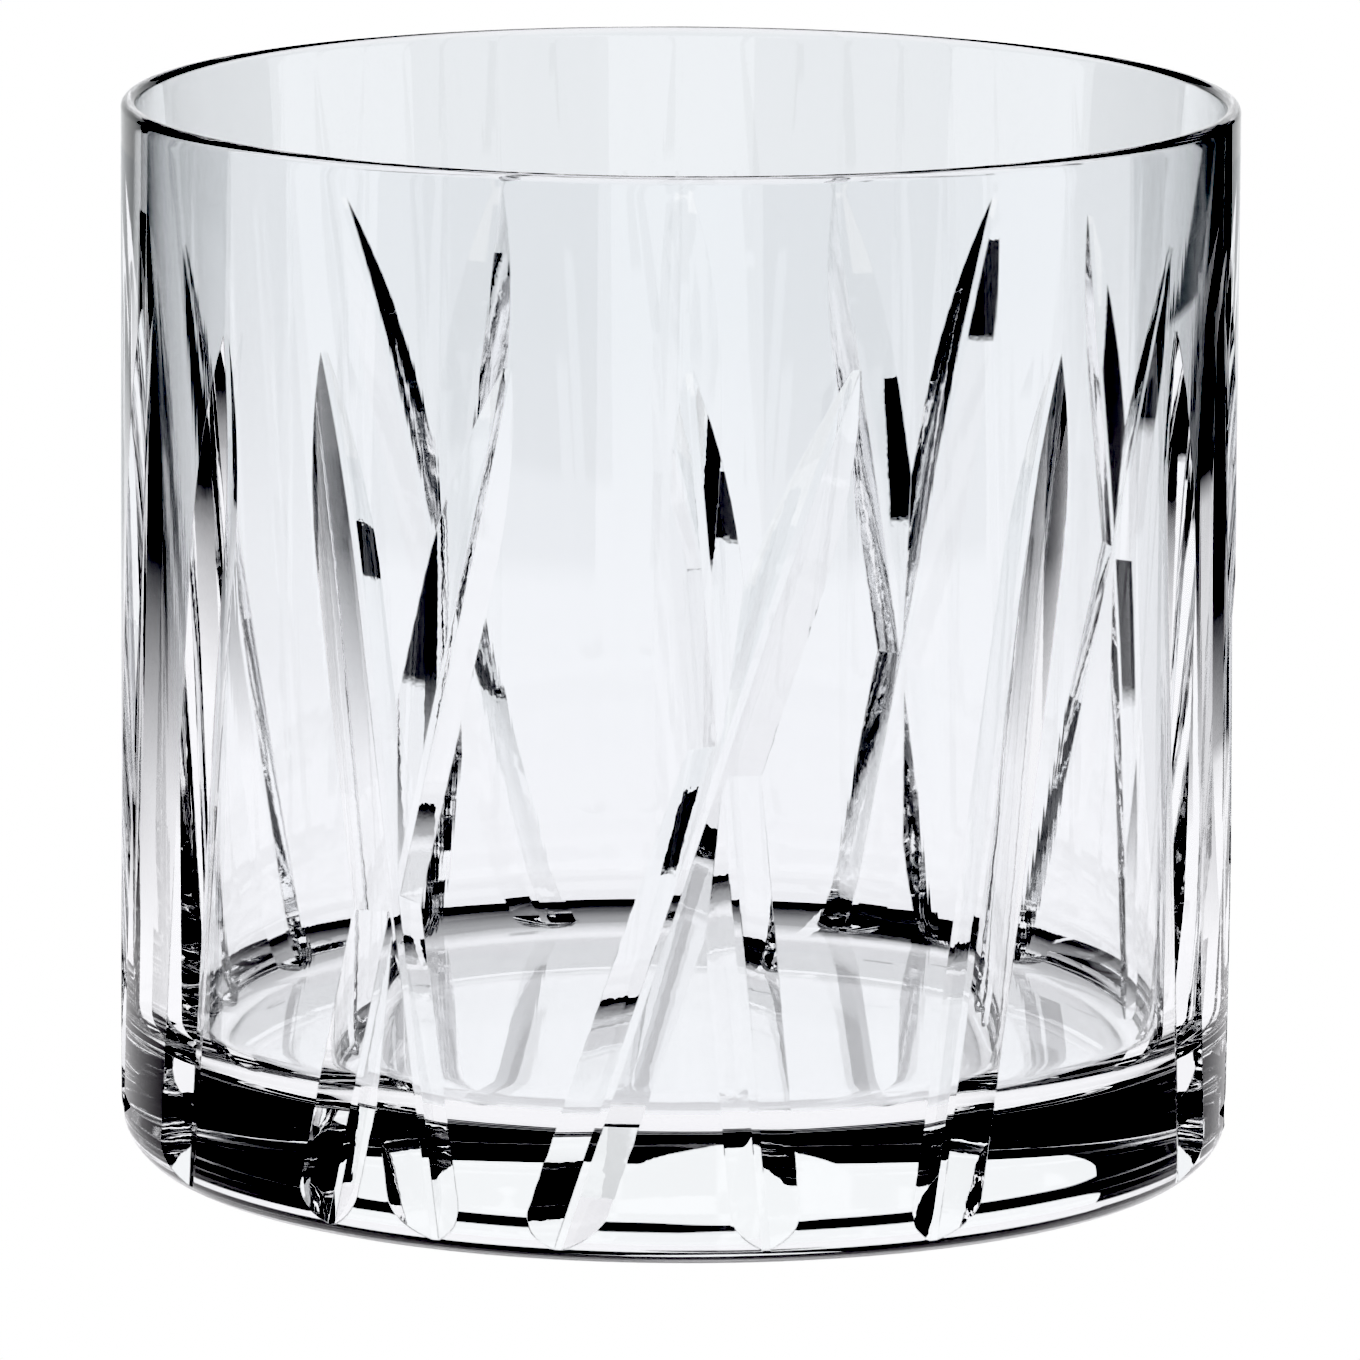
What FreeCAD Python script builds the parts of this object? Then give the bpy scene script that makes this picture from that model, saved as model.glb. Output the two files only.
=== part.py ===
import FreeCAD, Part
import math
import os
import Sketcher

# A cut crystal whiskey tumbler: one straight-sided glass, thick in the base, with wheel-cut
# V grooves that run down the outside at different slants and out over the rounded heel.
# Frame: +Z up, origin at the middle of the flat base, the front of the glass towards -Y.
# Lengths are in millimetres and angles in degrees.

doc = FreeCAD.newDocument("Tumbler")

# Driving dimensions. Each one is a cell of the sheet and has an alias of the same name.
dimensions = [
    ("bodyRadius", 45.0),       # outside of the straight wall
    ("bodyHeight", 86.8),       # base to lip
    ("heelRadius", 5.0),        # round between the wall and the flat base
    ("lipRadius", 0.65),        # fire-polished full round, half the lip's thickness
    ("floorHeight", 10.0),      # thickness of the base
    ("cavityRadius", 40.0),     # inside wall where it meets the floor's round corner
    ("cornerRadius", 4.5),      # round corner between the inside wall and the floor
    ("tipHeight", 71.5),        # where the wheel first touches the wall
    ("slantTop", 71.0),         # height at which a groove's upper azimuth is read
    ("slantFoot", 4.0),         # height at which its lower azimuth is read
    ("grooveAngle", 130.0),     # included angle of the V
    ("landWidth", 0.66),        # narrow flat that the wheel leaves at the bottom of the V
    ("wheelRadius", 116.0),     # the wheel's edge, which gives the run-out at the top
    ("stationStep", 4.5),       # spacing of the sections along a groove
    ("outerMargin", 1.8),       # how far a groove's cutter stands out of the wall
    ("footMargin", 3.0),        # how far it runs on under the base
]

# The grooves, going round the glass anticlockwise from the front as seen from above:
# name, azimuth at the top, azimuth at the foot, depth. Neighbours that lean towards
# each other cross or run together, and are cut to slightly different depths.
grooves = [
    ("front_left_upright", -38.0, -26.0, 1.42),
    ("front_left_slanted", -17.4, -37.6, 1.30),
    ("front_upright", 1.0, 9.2, 1.22),
    ("front_slanted", 17.6, -11.0, 1.45),
    ("front_right_slanted", 41.1, 28.4, 1.40),
    ("right_front_upright", 60.6, 67.0, 1.30),
    ("right_upright", 79.0, 90.0, 1.40),
    ("right_slanted", 93.5, 84.0, 1.28),
    ("right_back_slanted", 108.0, 133.5, 1.42),
    ("right_back_upright", 127.6, 103.0, 1.30),
    ("back_right_upright", 142.8, 159.5, 1.42),
    ("back_right_slanted", 162.3, 145.5, 1.30),
    ("back_upright", 179.6, 178.0, 1.35),
    ("back_left_upright", 200.6, 214.0, 1.40),
    ("back_left_slanted", 220.3, 195.0, 1.28),
    ("left_back_slanted", 253.5, 233.5, 1.40),
    ("left_back_upright", 270.0, 254.0, 1.35),
    ("left_upright", 288.0, 274.0, 1.35),
    ("left_front_slanted", 307.5, 297.8, 1.42),
]


def makeSheet():
    sheet = doc.addObject("Spreadsheet::Sheet", "Dimensions")
    for row, (name, value) in enumerate(dimensions, start=1):
        sheet.set(f"A{row}", name)
        sheet.set(f"B{row}", str(value))
        sheet.setAlias(f"B{row}", name)
    doc.recompute()
    return sheet


def originPlane(body, role):
    for plane in body.Origin.OriginFeatures:
        if plane.Role == role:
            return plane
    raise ValueError(f"{body.Label} has no {role}")


def bindConstraint(sketch, name, constraint, expression):
    number = sketch.addConstraint(constraint)
    sketch.renameConstraint(number, name)
    sketch.setExpression(f"Constraints.{name}", expression)


def makeBlank(sheet):
    """The uncut glass, turned about Z from one outline of its wall and base."""
    body = doc.addObject("PartDesign::Body", "Blank")
    body.Label = "blank"
    sketch = body.newObject("Sketcher::SketchObject", "WallOutline")
    sketch.AttachmentSupport = [(originPlane(body, "XZ_Plane"), "")]
    sketch.MapMode = "FlatFace"

    wall = sheet.bodyRadius
    heel = sheet.heelRadius
    lip = sheet.lipRadius
    floor = sheet.floorHeight
    cavity = sheet.cavityRadius
    corner = sheet.cornerRadius
    lipMiddle = sheet.bodyHeight - lip
    up = FreeCAD.Vector(0, 0, 1)

    def point(x, y):
        return FreeCAD.Vector(x, y, 0)

    def line(start, end):
        return sketch.addGeometry(Part.LineSegment(point(*start), point(*end)), False)

    def arc(centre, radius, first, last):
        circle = Part.Circle(point(*centre), up, radius)
        return sketch.addGeometry(
            Part.ArcOfCircle(circle, math.radians(first), math.radians(last)), False)

    base = line((0, 0), (wall - heel, 0))
    heelArc = arc((wall - heel, heel), heel, -90, 0)
    outside = line((wall, heel), (wall, lipMiddle))
    lipArc = arc((wall - lip, lipMiddle), lip, 0, 180)
    inside = line((wall - 2 * lip, lipMiddle), (cavity, floor + corner))
    cornerArc = arc((cavity - corner, floor + corner), corner, -90, 0)
    floorLine = line((cavity - corner, floor), (0, floor))
    axis = line((0, floor), (0, 0))

    startPoint = 1
    endPoint = 2
    centrePoint = 3
    origin = (-1, 1)

    def join(kind, first, firstEnd, second, secondEnd):
        sketch.addConstraint(Sketcher.Constraint(kind, first, firstEnd, second, secondEnd))

    join("Coincident", base, startPoint, *origin)
    join("Tangent", base, endPoint, heelArc, startPoint)
    join("Tangent", heelArc, endPoint, outside, startPoint)
    join("Tangent", outside, endPoint, lipArc, startPoint)
    join("Tangent", lipArc, endPoint, inside, startPoint)
    join("Tangent", inside, endPoint, cornerArc, endPoint)
    join("Tangent", cornerArc, startPoint, floorLine, startPoint)
    join("Coincident", floorLine, endPoint, axis, startPoint)
    join("Coincident", axis, endPoint, base, startPoint)
    for flat in (base, floorLine):
        sketch.addConstraint(Sketcher.Constraint("Horizontal", flat))
    for upright in (outside, axis):
        sketch.addConstraint(Sketcher.Constraint("Vertical", upright))

    bindConstraint(sketch, "wallRadius",
                   Sketcher.Constraint("DistanceX", *origin, outside, startPoint, wall),
                   "Dimensions.bodyRadius")
    bindConstraint(sketch, "heel", Sketcher.Constraint("Radius", heelArc, heel),
                   "Dimensions.heelRadius")
    bindConstraint(sketch, "lip", Sketcher.Constraint("Radius", lipArc, lip),
                   "Dimensions.lipRadius")
    bindConstraint(sketch, "lipMiddle",
                   Sketcher.Constraint("DistanceY", *origin, lipArc, centrePoint, lipMiddle),
                   "Dimensions.bodyHeight - Dimensions.lipRadius")
    bindConstraint(sketch, "floor",
                   Sketcher.Constraint("DistanceY", *origin, floorLine, endPoint, floor),
                   "Dimensions.floorHeight")
    bindConstraint(sketch, "corner", Sketcher.Constraint("Radius", cornerArc, corner),
                   "Dimensions.cornerRadius")
    bindConstraint(sketch, "cavity",
                   Sketcher.Constraint("DistanceX", *origin, inside, endPoint, cavity),
                   "Dimensions.cavityRadius")
    doc.recompute()

    turned = body.newObject("PartDesign::Revolution", "Turned")
    turned.Profile = sketch
    turned.ReferenceAxis = (sketch, ["V_Axis"])
    turned.Angle = 360
    doc.recompute()
    return body


def grooveDepth(sheet, depth, height):
    """Depth below the wall: constant, then up to the tip along the wheel's own arc."""
    runOut = math.sqrt(2 * sheet.wheelRadius * depth)
    left = runOut - (sheet.tipHeight - height)
    if left <= 0:
        return depth
    return depth - left ** 2 / (2 * sheet.wheelRadius)


def grooveSection(sheet, azimuth, landRadius):
    """The level section of a groove's cutter: the V with its land, open to the outside."""
    outerRadius = sheet.bodyRadius + sheet.outerMargin
    slope = math.tan(math.radians(sheet.grooveAngle / 2))
    halfLand = sheet.landWidth / 2
    halfMouth = halfLand + (outerRadius - landRadius) * slope
    turn = math.radians(azimuth)
    outward = FreeCAD.Vector(math.sin(turn), -math.cos(turn), 0)
    along = FreeCAD.Vector(math.cos(turn), math.sin(turn), 0)
    corners = [
        outward * landRadius - along * halfLand,
        outward * landRadius + along * halfLand,
        outward * outerRadius + along * halfMouth,
        outward * outerRadius - along * halfMouth,
    ]
    return corners


def grooveCutter(sheet, topAzimuth, footAzimuth, depth):
    """The solid that the wheel sweeps out, from above the tip to below the base."""
    top = sheet.slantTop
    foot = sheet.slantFoot
    lowest = -sheet.footMargin
    highest = sheet.tipHeight + sheet.stationStep
    count = math.ceil((highest - lowest) / sheet.stationStep)
    sections = []
    for station in range(count + 1):
        height = highest + (lowest - highest) * station / count
        azimuth = topAzimuth + (footAzimuth - topAzimuth) * (top - height) / (top - foot)
        landRadius = sheet.bodyRadius - grooveDepth(sheet, depth, height)
        corners = grooveSection(sheet, azimuth, landRadius)
        lifted = [corner + FreeCAD.Vector(0, 0, height) for corner in corners]
        sections.append(Part.makePolygon(lifted + lifted[:1]))
    return Part.makeLoft(sections, True)


def cutGrooves(sheet, blank):
    """Cuts the grooves one after another, as on the wheel."""
    work = blank
    for name, topAzimuth, footAzimuth, depth in grooves:
        cutter = doc.addObject("Part::Feature", f"{name}_wheel")
        cutter.Shape = grooveCutter(sheet, topAzimuth, footAzimuth, depth)
        cut = doc.addObject("Part::Cut", name)
        cut.Base = work
        cut.Tool = cutter
        doc.recompute()
        print(f"{name}: {work.Shape.Volume - cut.Shape.Volume:.1f} mm3 removed")
        work = cut
    return work


def checkDocument():
    for thing in doc.Objects:
        if "Invalid" in thing.State or "Error" in thing.State:
            raise RuntimeError(f"{thing.Name} failed: {thing.State}")


def checkPart(part):
    shape = part.Shape
    if shape.isNull() or not shape.isValid() or len(shape.Solids) != 1:
        raise RuntimeError(f"{part.Label} is not one valid solid")
    box = shape.optimalBoundingBox()
    print(f"{part.Label}: {shape.Volume / 1000:.1f} cm3, {len(shape.Faces)} faces, "
          f"{box.XLength:.2f} x {box.YLength:.2f} x {box.ZLength:.2f} mm")


sheet = makeSheet()
blank = makeBlank(sheet)
tumbler = cutGrooves(sheet, blank)
tumbler.Label = "tumbler"
tumbler.Placement = FreeCAD.Placement()

checkDocument()
checkPart(tumbler)
os.makedirs("parts", exist_ok=True)
tumbler.Shape.exportStep(f"parts/{tumbler.Label}.step")
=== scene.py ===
import bpy
import math
from mathutils import Matrix, Vector


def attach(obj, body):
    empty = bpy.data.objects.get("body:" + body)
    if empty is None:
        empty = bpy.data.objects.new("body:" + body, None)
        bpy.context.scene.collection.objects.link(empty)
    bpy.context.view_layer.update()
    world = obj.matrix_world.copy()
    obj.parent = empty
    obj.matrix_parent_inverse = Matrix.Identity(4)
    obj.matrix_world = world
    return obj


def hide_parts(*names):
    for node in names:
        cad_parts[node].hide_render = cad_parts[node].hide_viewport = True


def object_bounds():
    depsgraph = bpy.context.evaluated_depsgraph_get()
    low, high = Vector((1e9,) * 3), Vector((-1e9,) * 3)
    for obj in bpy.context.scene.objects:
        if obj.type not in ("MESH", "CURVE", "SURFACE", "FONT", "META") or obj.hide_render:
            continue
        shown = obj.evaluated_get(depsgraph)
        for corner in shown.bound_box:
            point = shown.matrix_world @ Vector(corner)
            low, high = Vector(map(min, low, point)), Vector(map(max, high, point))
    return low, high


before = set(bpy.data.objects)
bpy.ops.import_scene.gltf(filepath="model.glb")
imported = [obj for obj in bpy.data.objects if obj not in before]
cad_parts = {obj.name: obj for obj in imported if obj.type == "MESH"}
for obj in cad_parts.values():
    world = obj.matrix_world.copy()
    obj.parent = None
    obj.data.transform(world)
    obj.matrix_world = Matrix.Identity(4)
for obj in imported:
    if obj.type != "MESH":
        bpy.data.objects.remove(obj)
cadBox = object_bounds()

# metres, the front of the glass towards -Y
wallRadius = (cadBox[1].x - cadBox[0].x) / 2
bodyHeight = cadBox[1].z
mm = 0.001


def toLinear(hexColour):
    values = [int(hexColour[i:i + 2], 16) / 255 for i in (1, 3, 5)]
    return [v / 12.92 if v <= 0.04045 else ((v + 0.055) / 1.055) ** 2.4 for v in values] + [1]


def addNode(tree, kind, settings=None, links=None):
    # settings: socket or property name -> value; links: input name -> output socket
    node = tree.nodes.new(kind)
    for name, value in (settings or {}).items():
        if name in node.inputs:
            node.inputs[name].default_value = value
        else:
            setattr(node, name, value)
    for name, source in (links or {}).items():
        tree.links.new(source, node.inputs[name])
    return node


def startMaterial(name):
    material = bpy.data.materials.new(name)
    material.use_nodes = True
    material.node_tree.nodes.clear()
    return material, material.node_tree


def deselectAll():
    if bpy.context.object and bpy.context.object.mode == "EDIT":
        bpy.ops.object.mode_set(mode="OBJECT")
    bpy.ops.object.select_all(action="DESELECT")


def selectVerts(piece, test):
    # picks vertices by their place, in edit mode
    bpy.ops.object.mode_set(mode="OBJECT")
    for polygon in piece.data.polygons:
        polygon.select = False
    for edge in piece.data.edges:
        edge.select = False
    for vert in piece.data.vertices:
        vert.select = test(vert.co)
    bpy.ops.object.mode_set(mode="EDIT")
    bpy.ops.mesh.select_mode(type="VERT")


# materials

crystal = {
    "tint": "#FCFDFE",
    "ior": 1.54,            # 24 % lead crystal, so that light bends hard and facets go black or white
    "edgeRound": 0.15,      # mm, the acid polish softens every cut edge
    "rippleLength": 1.1,    # mm, waves that the polishing wheel leaves in a groove
    "rippleHeight": 0.004,  # mm
    "swellLength": 30.0,    # mm, slow waves in the fire-polished wall
    "swellHeight": 0.01,    # mm
    "bevelSamples": 4,
}


# Lead crystal is melted clear, blown in a mould and fire polished, which leaves a bright skin with
# slow swells in it. The grooves are then ground and acid polished: they keep fine ripples along
# the cut, and their edges are softened just enough to catch a thin line of light.
def crystalMaterial(name, waveLength, waveHeight, detail):
    material, tree = startMaterial(name)
    place = addNode(tree, "ShaderNodeTexCoord")
    waves = addNode(tree, "ShaderNodeTexNoise",
                    {"Scale": 1 / (waveLength * mm), "Detail": detail, "Roughness": 0.5},
                    {"Vector": place.outputs["Object"]})
    edges = addNode(tree, "ShaderNodeBevel", {"samples": crystal["bevelSamples"],
                                              "Radius": crystal["edgeRound"] * mm})
    bump = addNode(tree, "ShaderNodeBump",
                   {"Strength": 1.0, "Distance": waveHeight * mm},
                   {"Height": waves.outputs["Fac"], "Normal": edges.outputs["Normal"]})
    glass = addNode(tree, "ShaderNodeBsdfPrincipled",
                    {"Base Color": toLinear(crystal["tint"]), "Roughness": 0.0,
                     "IOR": crystal["ior"], "Transmission Weight": 1.0},
                    {"Normal": bump.outputs["Normal"]})
    addNode(tree, "ShaderNodeOutputMaterial", None, {"Surface": glass.outputs["BSDF"]})
    return material


wallCrystal = crystalMaterial("firePolishedCrystal", crystal["swellLength"],
                              crystal["swellHeight"], 1.0)
grooveCrystal = crystalMaterial("wheelCutCrystal", crystal["rippleLength"],
                                crystal["rippleHeight"], 2.0)
print("materials made")

# the uncut glass

blank = {
    "around": 540,
    "arcSteps": 20,         # per quarter turn
    "heel": 5.0 * mm,
    "lip": 0.65 * mm,
    "floorHeight": 10.0 * mm,
    "cavity": 40.0 * mm,
    "corner": 4.5 * mm,
    "support": 0.8 * mm,    # ring beside each round, so that the flats stay flat
    "weld": 0.001 * mm,     # the last ring closes on one vertex
    "smoothBelow": 5.2,     # degrees: the rounds read as smooth and the cut edges stay sharp
}


def arcPoints(centre, radius, first, last, steps):
    points = []
    for i in range(steps + 1):
        angle = math.radians(first + (last - first) * i / steps)
        points.append((centre[0] + radius * math.cos(angle), centre[1] + radius * math.sin(angle)))
    return points


def blankOutline():
    heel, lip, corner = blank["heel"], blank["lip"], blank["corner"]
    floorHeight, cavity, support = blank["floorHeight"], blank["cavity"], blank["support"]
    steps = blank["arcSteps"]
    lipMiddle = (wallRadius - lip, bodyHeight - lip)
    lean = math.degrees(math.atan2(wallRadius - 2 * lip - cavity,
                                   lipMiddle[1] - floorHeight - corner))
    cornerMiddle = (cavity - corner * math.cos(math.radians(lean)), floorHeight + corner)
    points = arcPoints((wallRadius - heel, heel), heel, -90, 0, steps)
    points += [(wallRadius, heel + support), (wallRadius, lipMiddle[1] - support)]
    points += arcPoints(lipMiddle, lip, 0, 180 - lean, 2 * steps)
    rimInside, cornerTop = points[-1], arcPoints(cornerMiddle, corner, -lean, -90, 1)[0]
    supportShare = support / (rimInside[1] - cornerTop[1])
    for share in (supportShare, 1 - supportShare):
        points.append((rimInside[0] + (cornerTop[0] - rimInside[0]) * share,
                       rimInside[1] + (cornerTop[1] - rimInside[1]) * share))
    points += arcPoints(cornerMiddle, corner, -lean, -90, steps)
    points.append((cornerMiddle[0] - support, floorHeight))
    return points


def makeBlank():
    deselectAll()
    outline = blankOutline()
    radius = outline[0][0] - blank["support"]
    bpy.ops.mesh.primitive_circle_add(vertices=blank["around"], radius=radius,
                                      fill_type="TRIFAN", location=(0, 0, 0))
    piece = bpy.context.object
    piece.name = "crystalTumbler"
    selectVerts(piece, lambda co: math.hypot(co.x, co.y) > radius / 2)
    bpy.ops.mesh.select_mode(type="EDGE")
    height = 0.0
    for nextRadius, nextHeight in outline:
        bpy.ops.mesh.extrude_edges_move(TRANSFORM_OT_translate={"value": (0, 0, nextHeight - height)})
        grow = nextRadius / radius
        bpy.ops.transform.resize(value=(grow, grow, 1), center_override=(0, 0, nextHeight))
        radius, height = nextRadius, nextHeight
    bpy.ops.mesh.extrude_edges_move(TRANSFORM_OT_translate={"value": (0, 0, 0)})
    bpy.ops.mesh.merge(type="CENTER")
    bpy.ops.mesh.select_all(action="SELECT")
    bpy.ops.mesh.remove_doubles(threshold=blank["weld"])
    bpy.ops.mesh.normals_make_consistent(inside=False)
    bpy.ops.object.mode_set(mode="OBJECT")
    piece.data.materials.append(wallCrystal)
    return piece


tumbler = makeBlank()
print("blank turned:", len(tumbler.data.polygons), "faces")

# the wheel-cut grooves: azimuth at the top, azimuth at the foot, depth in mm
grooves = [
    (-38.0, -26.0, 1.42),
    (-17.4, -37.6, 1.30),
    (1.0, 9.2, 1.22),
    (17.6, -11.0, 1.45),
    (41.1, 28.4, 1.40),
    (60.6, 67.0, 1.30),
    (79.0, 90.0, 1.40),
    (93.5, 84.0, 1.28),
    (108.0, 133.5, 1.42),
    (127.6, 103.0, 1.30),
    (142.8, 159.5, 1.42),
    (162.3, 145.5, 1.30),
    (179.6, 178.0, 1.35),
    (200.6, 214.0, 1.40),
    (220.3, 195.0, 1.28),
    (253.5, 233.5, 1.40),
    (270.0, 254.0, 1.35),
    (288.0, 274.0, 1.35),
    (307.5, 297.8, 1.42),
]

wheel = {
    "tip": 71.5 * mm,       # where the wheel first touches the wall
    "slantTop": 71.0 * mm,
    "slantFoot": 4.0 * mm,
    "halfAngle": 65.0,
    "land": 0.66 * mm,
    "radius": 116.0 * mm,
    "step": 2.0 * mm,
    "height": 3.6 * mm,     # of the V that is swept
    "start": 75.5 * mm,
    "end": -2.5 * mm,
}


def grooveDepth(depth, height):
    runOut = math.sqrt(2 * wheel["radius"] * depth)
    left = max(0, runOut - (wheel["tip"] - height))
    return depth - left ** 2 / (2 * wheel["radius"])


def makeCutter(topAzimuth, footAzimuth, depth):
    def azimuthAt(height):
        share = (wheel["slantTop"] - height) / (wheel["slantTop"] - wheel["slantFoot"])
        return math.radians(topAzimuth + (footAzimuth - topAzimuth) * share)

    deselectAll()
    height = wheel["start"]
    azimuth, cutDepth = azimuthAt(height), grooveDepth(depth, height)
    inner = wallRadius - cutDepth
    halfMouth = wheel["land"] / 2 + wheel["height"] * math.tan(math.radians(wheel["halfAngle"]))
    middle = -inner - wheel["height"] / 2
    bpy.ops.mesh.primitive_plane_add(size=2, location=(0, middle, height))
    piece = bpy.context.object
    bpy.ops.object.transform_apply(location=True)
    bpy.ops.object.mode_set(mode="EDIT")
    bpy.ops.mesh.select_all(action="SELECT")
    bpy.ops.transform.resize(value=(halfMouth, wheel["height"] / 2, 1),
                             center_override=(0, middle, height))
    selectVerts(piece, lambda co: co.y > middle)
    bpy.ops.transform.resize(value=(wheel["land"] / 2 / halfMouth, 1, 1),
                             center_override=(0, middle, height))
    bpy.ops.mesh.select_all(action="SELECT")
    bpy.ops.transform.rotate(value=-azimuth, orient_axis="Z", center_override=(0, 0, height))
    count = round((wheel["start"] - wheel["end"]) / wheel["step"])
    drop = (wheel["start"] - wheel["end"]) / count
    for station in range(count):
        height -= drop
        deeper = grooveDepth(depth, height) - cutDepth
        outward = Vector((math.sin(azimuth), -math.cos(azimuth), 0))
        bpy.ops.mesh.extrude_region_move(
            TRANSFORM_OT_translate={"value": Vector((0, 0, -drop)) - outward * deeper})
        turn = azimuthAt(height) - azimuth
        bpy.ops.transform.rotate(value=-turn, orient_axis="Z", center_override=(0, 0, height))
        azimuth, cutDepth = azimuth + turn, cutDepth + deeper
    bpy.ops.mesh.select_all(action="SELECT")
    bpy.ops.mesh.normals_make_consistent(inside=False)
    bpy.ops.object.mode_set(mode="OBJECT")
    piece.data.materials.append(grooveCrystal)
    return piece


def cutGrooves(piece):
    cutters = bpy.data.collections.new("wheelCutters")
    bpy.context.scene.collection.children.link(cutters)
    made = []
    for topAzimuth, footAzimuth, depth in grooves:
        cutter = makeCutter(topAzimuth, footAzimuth, depth * mm)
        for home in list(cutter.users_collection):
            home.objects.unlink(cutter)
        cutters.objects.link(cutter)
        made.append(cutter)
    deselectAll()
    bpy.context.view_layer.objects.active = piece
    piece.select_set(True)
    cut = piece.modifiers.new("grooves", "BOOLEAN")
    cut.operation = "DIFFERENCE"
    cut.operand_type = "COLLECTION"
    cut.collection = cutters
    cut.solver = "MANIFOLD"
    cut.use_self = False
    cut.material_mode = "TRANSFER"
    bpy.ops.object.modifier_apply(modifier=cut.name)
    for cutter in made:
        bpy.data.objects.remove(cutter)
    bpy.data.collections.remove(cutters)


cutGrooves(tumbler)
print("grooves cut:", len(tumbler.data.polygons), "faces")
deselectAll()
bpy.context.view_layer.objects.active = tumbler
tumbler.select_set(True)
bpy.ops.object.shade_smooth_by_angle(angle=math.radians(blank["smoothBelow"]))
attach(tumbler, "root")
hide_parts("tumbler")

# studio

# The camera sees plain white all round. The glass sees a bright-field set: a lit table, a white
# screen behind it, and black felt laid on the table, which draws the dark lines in the cuts, with a
# painted contact shadow under the heel in the same black.
studio = {
    "white": "#FFFFFF",
    "tableSize": 8.0,
    "tableDrop": 0.2 * mm,
    "tableNear": "#FEFDFF",
    "tableFar": "#F3F5F7",
    "fade": (0.08, 0.33),   # the table darkens between these, away from the lamps
    "screen": "#FDFEFF",
    # felt black, also the colour of the painted contact shadow and of the dark room the glass sees
    "feltAndShadowBlack": "#030304",
    "bandSides": 360,
    "blackLevel": 0.15,     # contrast: light below this shows as black
    "bounces": 24,
    "glossyBounces": 12,
}

# flat on the table: bearings from straight behind the glass, near and far radius, and the radius
# at which the table's light has died away; the last three are a painted contact shadow, the rest felt
feltsAndPaintedShadows = [
    ((17.6, 24.5), (0.285, 0.39), 0.290),           # a short strip behind, on the right
    ((26.0, 45.0), (0.205, 3.0), 0.216),            # right
    ((45.0, 77.0), (0.200, 3.0), 0.2001),
    ((45.0, 77.0), (0.120, 0.20), 0.180),
    ((-36.0, -29.5), (0.222, 0.30), 0.228),         # a short strip behind, on the left
    ((-77.0, -36.0), (0.120, 3.0), 0.190),          # left
    ((118.0, 165.0), (0.360, 3.0), 0.380),          # in front, both sides of the camera
    ((-165.0, -118.0), (0.360, 3.0), 0.380),
    # painted contact shadow: black rings on the table under the heel, where the glass shades it
    ((-75.0, 15.0), (0.0415, 0.057), 0.0535),       # contact shadow under the heel
    ((15.0, 42.0), (0.0415, 0.057), 0.0450),
    ((42.0, 75.0), (0.0415, 0.057), 0.0535),
]

# upright: bearings, radius, height
screens = [
    ((-36.0, 26.0), 0.60, 0.26),
    ((165.0, 195.0), 0.42, 0.05),
]


def stageBand(bearings, radii, heights, material):
    # flat on the table where the heights agree, upright where the radii do
    (first, last), (near, far), (low, high) = bearings, radii, heights
    deselectAll()
    bpy.ops.mesh.primitive_circle_add(vertices=studio["bandSides"], radius=near,
                                      fill_type="NOTHING")
    band = bpy.context.object
    band.name = "studioBand"
    bpy.ops.object.mode_set(mode="EDIT")
    bpy.ops.mesh.select_all(action="SELECT")
    bpy.ops.transform.translate(value=(0, 0, low))
    bpy.ops.mesh.extrude_edges_move(TRANSFORM_OT_translate={"value": (0, 0, high - low)})
    bpy.ops.transform.resize(value=(far / near, far / near, 1), center_override=(0, 0, high))
    span = last - first
    selectVerts(band, lambda co: (math.degrees(math.atan2(co.x, co.y)) - first) % 360 > span)
    bpy.ops.mesh.delete(type="VERT")
    bpy.ops.object.mode_set(mode="OBJECT")
    band.data.materials.append(material)
    band.visible_camera = False
    band.visible_shadow = False
    band.visible_diffuse = False


def glow(tree, colour):
    return addNode(tree, "ShaderNodeEmission", {"Color": toLinear(colour)}).outputs["Emission"]


def mix(tree, share, first, second):
    node = tree.nodes.new("ShaderNodeMixShader")
    for socket, source in zip(node.inputs, (share, first, second)):
        tree.links.new(source, socket)
    return node.outputs["Shader"]


def ramp(tree, value, first, last):
    return addNode(tree, "ShaderNodeMapRange", {"From Min": first, "From Max": last},
                   {"Value": value}).outputs["Result"]


def tableLight(tree):
    # brighter near the glass, and white where the camera sees it
    place = addNode(tree, "ShaderNodeTexCoord")
    axes = addNode(tree, "ShaderNodeSeparateXYZ", None, {"Vector": place.outputs["Object"]})
    path = addNode(tree, "ShaderNodeLightPath")
    lit = mix(tree, ramp(tree, axes.outputs["Y"], *studio["fade"]),
              glow(tree, studio["tableNear"]), glow(tree, studio["tableFar"]))
    shown = mix(tree, path.outputs["Is Camera Ray"], lit, glow(tree, studio["white"]))
    return shown, place


# cast opal acrylic lit from below: an even, shadowless white
def tableMaterial():
    material, tree = startMaterial("opalAcrylic")
    light = tableLight(tree)[0]
    addNode(tree, "ShaderNodeOutputMaterial", None, {"Surface": light})
    return material


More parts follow.
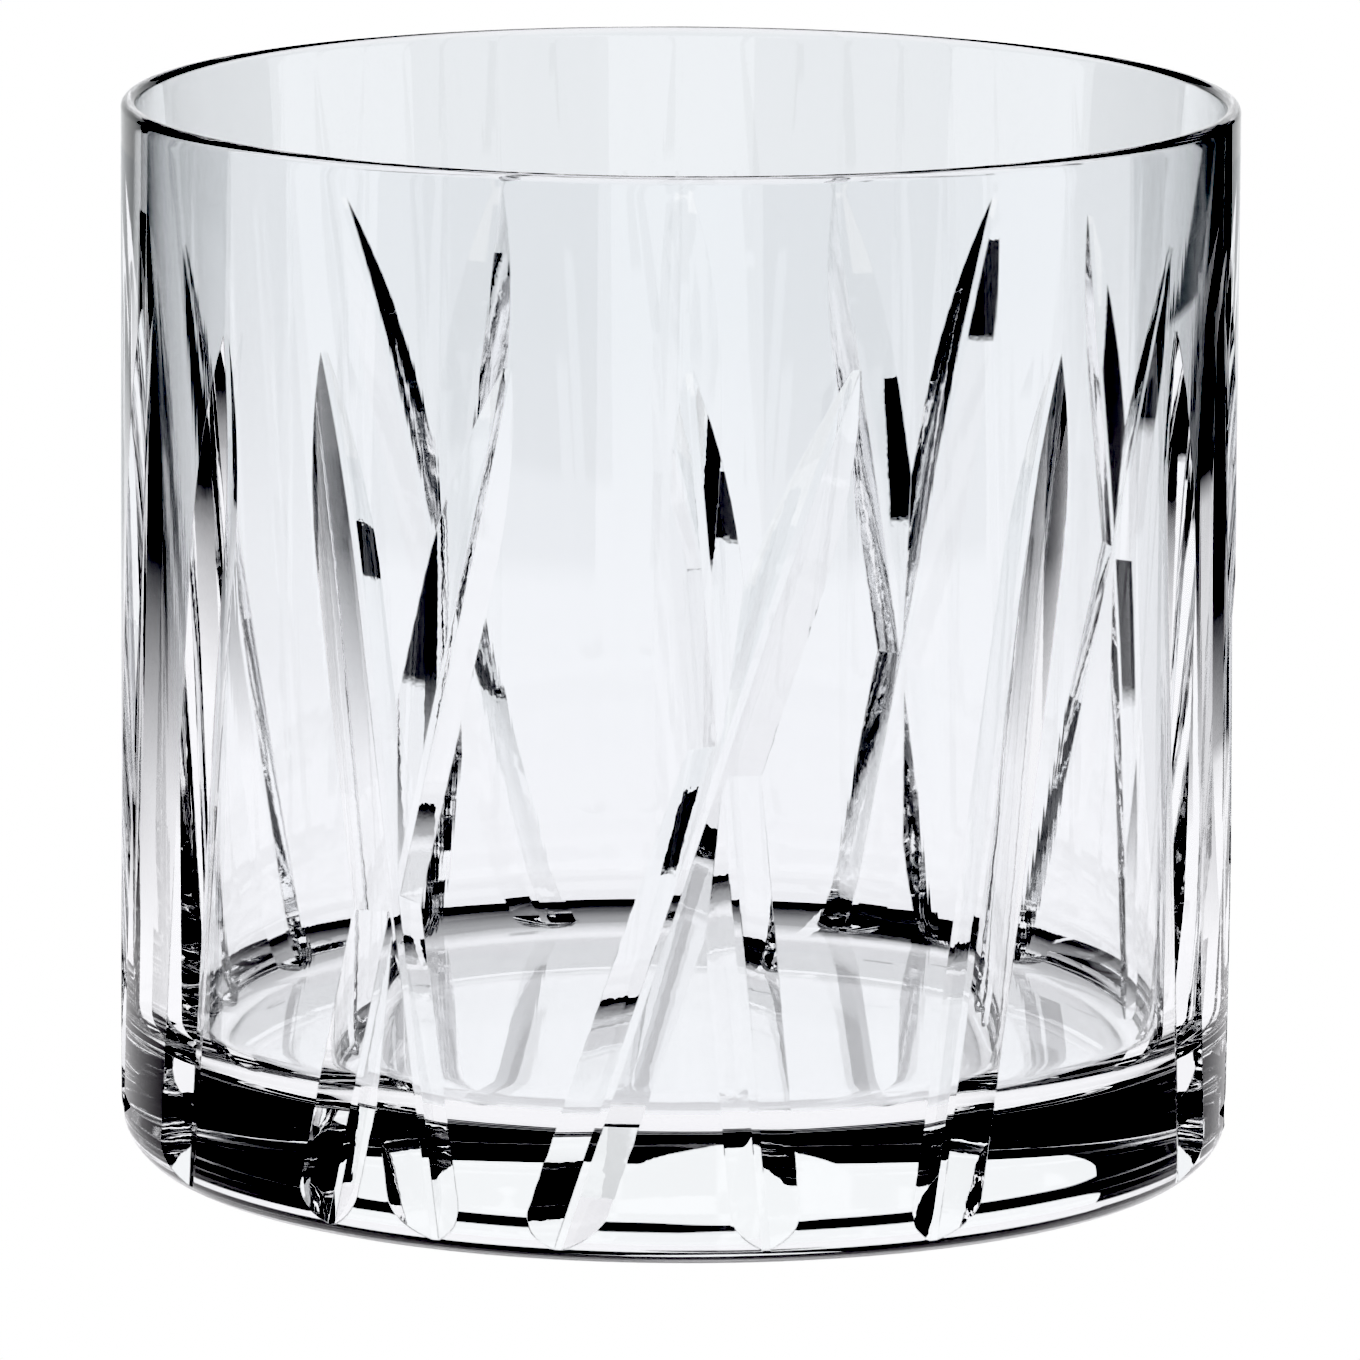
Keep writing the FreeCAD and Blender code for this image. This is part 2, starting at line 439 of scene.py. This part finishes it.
# napped wool, which gives almost no light back, and in the same black a painted contact shadow
# under the heel: the table's light dies away across its near edge
def feltAndPaintedShadowMaterial(near, black):
    material, tree = startMaterial("blackFeltAndPaintedShadow")
    light, place = tableLight(tree)
    flat = addNode(tree, "ShaderNodeVectorMath", {"operation": "MULTIPLY"},
                   {"Vector": place.outputs["Object"]})
    flat.inputs[1].default_value = (1, 1, 0)
    radius = addNode(tree, "ShaderNodeVectorMath", {"operation": "LENGTH"},
                     {"Vector": flat.outputs["Vector"]})
    shown = mix(tree, ramp(tree, radius.outputs["Value"], near, black),
                light, glow(tree, studio["feltAndShadowBlack"]))
    addNode(tree, "ShaderNodeOutputMaterial", None, {"Surface": shown})
    return material


# stretched opal cloth with a lamp behind it: a broad, plain highlight
def screenMaterial():
    material, tree = startMaterial("opalScreen")
    addNode(tree, "ShaderNodeOutputMaterial", None, {"Surface": glow(tree, studio["screen"])})
    return material


def stageTable():
    deselectAll()
    bpy.ops.mesh.primitive_plane_add(size=studio["tableSize"], location=(0, 0, 0))
    table = bpy.context.object
    table.name = "studioFloor"
    table.data.transform(Matrix.Translation((0, 0, -studio["tableDrop"])))
    table.data.materials.append(tableMaterial())


def stageRoom():
    world = bpy.data.worlds.new("softStudio")
    bpy.context.scene.world = world
    world.use_nodes = True
    tree = world.node_tree
    tree.nodes.clear()
    feltAndShadowBlack = addNode(tree, "ShaderNodeBackground", {"Color": toLinear(studio["feltAndShadowBlack"])})
    plain = addNode(tree, "ShaderNodeBackground", {"Color": toLinear(studio["white"])})
    path = addNode(tree, "ShaderNodeLightPath")
    shown = mix(tree, path.outputs["Is Camera Ray"], feltAndShadowBlack.outputs[0], plain.outputs[0])
    addNode(tree, "ShaderNodeOutputWorld", None, {"Surface": shown})


stageTable()
for bearings, radii, black in feltsAndPaintedShadows:
    stageBand(bearings, radii, (0.0, 0.0), feltAndPaintedShadowMaterial(radii[0], black))
for bearings, radius, height in screens:
    stageBand(bearings, (radius, radius), (0.0, height), screenMaterial())
stageRoom()
print("studio set:", len(feltsAndPaintedShadows), "felts,", len(screens), "screens")

view = {
    "distance": 1.1435,
    "elevation": 9.932,     # degrees, as is the roll
    "roll": 0.35,
    "sensor": 36,
    "lens": 374.2,
    "shift": (0.0016, -0.0364),
    "clip": (0.01, 50),
}


def makeCamera():
    data = bpy.data.cameras.new("view")
    data.sensor_width = view["sensor"]
    data.lens = view["lens"]
    data.shift_x, data.shift_y = view["shift"]
    data.clip_start, data.clip_end = view["clip"]
    camera = bpy.data.objects.new("view", data)
    bpy.context.scene.collection.objects.link(camera)
    tilt = math.radians(view["elevation"])
    back = Vector((0, -math.cos(tilt), math.sin(tilt)))
    camera.location = Vector((0, 0, bodyHeight / 2)) + back * view["distance"]
    turn = (-back).to_track_quat("-Z", "Y").to_matrix().to_4x4()
    camera.rotation_euler = (turn @ Matrix.Rotation(math.radians(view["roll"]), 4, "Z")).to_euler()
    bpy.context.scene.camera = camera


makeCamera()
scene = bpy.context.scene
scene.view_settings.view_transform = "Standard"
scene.view_settings.look = "None"
scene.view_settings.use_curve_mapping = True
scene.view_settings.curve_mapping.black_level = [studio["blackLevel"]] * 3
scene.cycles.max_bounces = studio["bounces"]
scene.cycles.transmission_bounces = studio["bounces"]
scene.cycles.glossy_bounces = studio["glossyBounces"]
print("camera placed")
